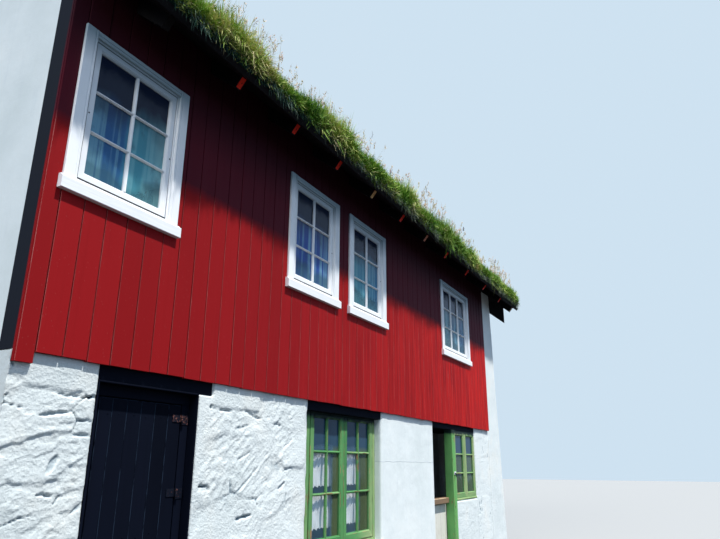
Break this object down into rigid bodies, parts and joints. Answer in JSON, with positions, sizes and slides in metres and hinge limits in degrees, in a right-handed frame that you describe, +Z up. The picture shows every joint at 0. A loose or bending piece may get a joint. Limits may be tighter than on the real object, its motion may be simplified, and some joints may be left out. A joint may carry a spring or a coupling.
{
  "type": "turf-roofed row house",
  "caption": "Turf-roofed row house with a whitewashed rubble cellar storey, red boarded timber storey, stone gable, white windows, a cellar door and a half-door.",
  "frame": {"origin": "middle of the house's plan at ground level, under the middle of its outer box", "axes": "+X along the street front from the party wall to the stone gable, +Y from the street front to the back, +Z up"},
  "size_m": [9.53, 6.7062, 7.1211],
  "materials": {
    "whitewashed_rubble": "matt limewash on rough rubble",
    "smooth_whitewash": "matt limewash on smooth render",
    "black_timber": "black tarred boards",
    "bare_timber": "plain sawn timber",
    "red_boards": "satin red paint on vertical boards",
    "white_paint": "satin white paint",
    "window_glass": "clear window glass",
    "green_paint": "weathered light green paint",
    "rusty_iron": "rusty wrought iron",
    "cream_paint": "matt cream-white paint",
    "brown_timber": "worn brown wood",
    "tarred_timber": "black tarred timber",
    "turf": "grown grass sods on soil"
  },
  "bodies": {
    "house": {"cellar_wall_left": "whitewashed_rubble", "rough_pier": "whitewashed_rubble", "wall_under_green_window": "whitewashed_rubble", "smooth_pier": "smooth_whitewash", "wall_under_side_window": "whitewashed_rubble", "cellar_wall_right": "whitewashed_rubble", "cellar_back_wall": "whitewashed_rubble", "stone_gable": "whitewashed_rubble", "party_wall": "smooth_whitewash", "door_lintel": "black_timber", "green_window_lintel": "black_timber", "doorway_lintel": "black_timber", "floor_beams": "bare_timber", "upper_floor": "bare_timber", "front_timber_wall": "bare_timber", "back_timber_wall": "bare_timber", "front_boards": "red_boards", "low_corner_board": "red_boards", "back_boards": "red_boards", "gable_frame": "bare_timber", "gable_boards": "red_boards", "window_1": "white_paint", "window_2": "white_paint", "window_3": "white_paint", "wide_window": "white_paint", "back_windows": "white_paint", "attic_window": "white_paint", "upper_glass": "window_glass", "green_window_frame": "green_paint", "green_window_leaves": "green_paint", "green_post": "green_paint", "side_window": "green_paint", "cellar_glass": "window_glass", "door_lining": "black_timber", "door_pintles": "rusty_iron", "half_door_pintles": "rusty_iron", "ceiling_beams": "bare_timber", "attic_floor": "bare_timber", "rafters_front": "tarred_timber", "rafters_back": "tarred_timber", "ridge_board": "bare_timber", "roof_boards_front": "tarred_timber", "roof_boards_back": "tarred_timber", "eave_boards": "tarred_timber", "verge_boards": "tarred_timber", "barge_boards": "tarred_timber", "turf_front": "turf", "turf_back": "turf"},
    "cellar_door": {"cellar_door": "black_timber", "door_straps": "rusty_iron"},
    "half_door": {"half_door": "cream_paint", "half_door_ledge": "brown_timber", "half_door_straps": "rusty_iron"}
  },
  "joints": [
    {"name": "cellar_door_hinge", "type": "hinge", "parent": "house", "child": "cellar_door", "pos_m": [-3.4245, -2.809, 1.312], "axis": [0, 0, 1], "range_deg": [0, 90]},
    {"name": "half_door_hinge", "type": "hinge", "parent": "house", "child": "half_door", "pos_m": [1.24, -2.689, 0.5], "axis": [0, 0, 1], "range_deg": [0, 90]}
  ]
}
